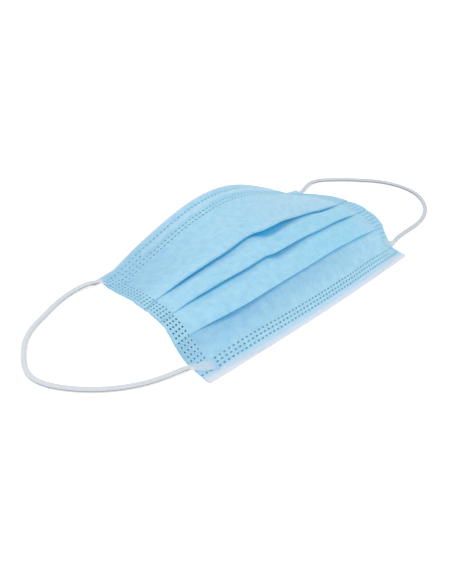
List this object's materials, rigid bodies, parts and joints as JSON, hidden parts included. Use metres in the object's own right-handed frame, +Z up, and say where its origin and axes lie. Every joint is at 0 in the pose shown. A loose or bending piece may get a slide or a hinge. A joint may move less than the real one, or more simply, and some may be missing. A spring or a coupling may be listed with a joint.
{
  "type": "surgical face mask",
  "caption": "Pleated disposable face mask with a nose wire and elastic ear loops, lying on its inner side.",
  "frame": {"origin": "on the surface that the mask lies on, under the middle of the mask without its loops", "axes": "+X along the mask, +Y from the front edge to the nose-wire edge, +Z up, away from the inner face"},
  "size_m": [0.3118, 0.1016, 0.0331],
  "materials": {
    "outer_cloth": "light blue nonwoven polypropylene",
    "inner_cloth": "white nonwoven polypropylene",
    "nose_wire": "plastic-coated flat steel wire",
    "elastic": "soft white knitted elastic"
  },
  "bodies": {
    "root": {"outer_layer": "outer_cloth", "inner_layer": "inner_cloth", "nose_wire": "nose_wire", "ear_loop_left": "elastic", "ear_loop_right": "elastic", "loop_end_left_top": "elastic", "loop_end_left_bottom": "elastic", "loop_end_right_top": "elastic", "loop_end_right_bottom": "elastic"}
  },
  "joints": []
}
